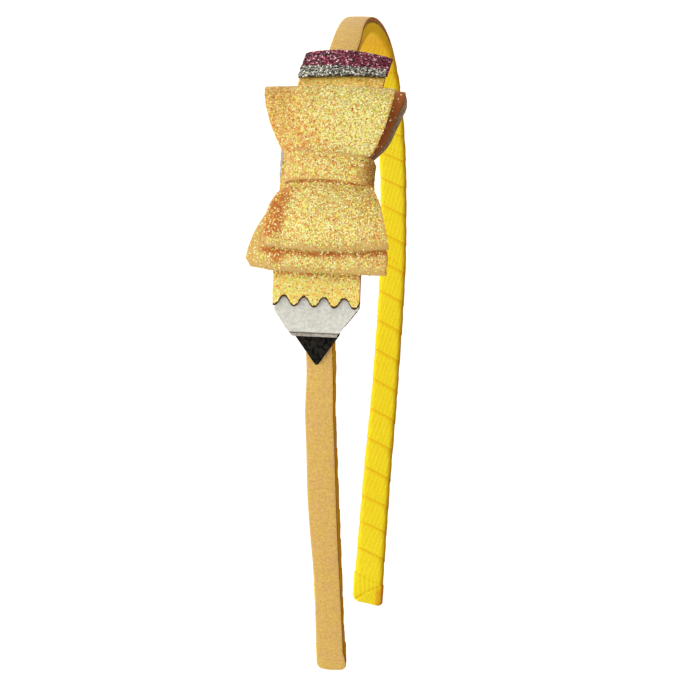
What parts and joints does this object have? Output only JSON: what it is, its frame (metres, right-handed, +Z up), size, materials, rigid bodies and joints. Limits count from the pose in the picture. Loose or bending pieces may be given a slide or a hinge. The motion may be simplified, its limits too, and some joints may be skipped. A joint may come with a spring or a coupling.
{
  "type": "pencil headband",
  "caption": "Child's ribbon-wound headband with a strip along its outside, and a pencil cut from glitter canvas glued to one side under a double bow.",
  "frame": {"origin": "middle of the box on the table, with the headband lying on its side as it rests", "axes": "+Z up from the table, +Y from the open ends towards the crown of the band, the bow and pencil on the -X side"},
  "size_m": [0.1208, 0.1432, 0.0287],
  "materials": {
    "yellow_ribbon": "ribbed grosgrain, matte",
    "gold_strip": "fine gold canvas, slight shimmer",
    "gold_glitter": "gold glitter on canvas",
    "silver_glitter": "silver glitter on canvas",
    "maroon_glitter": "maroon glitter on canvas",
    "white_canvas": "plain off-white canvas, matte",
    "black_canvas": "plain black canvas, matte",
    "white_felt": "white felt"
  },
  "bodies": {
    "root": {"wound_band": "yellow_ribbon", "cover_strip": "gold_strip", "felt_pad": "white_felt", "pencil_eraser": "maroon_glitter", "pencil_ferrule": "silver_glitter", "pencil_body": "gold_glitter", "pencil_wood": "white_canvas", "pencil_lead": "black_canvas", "bow_back_loops": "gold_glitter", "bow_front_loops": "gold_glitter", "bow_knot": "gold_glitter"}
  },
  "joints": []
}
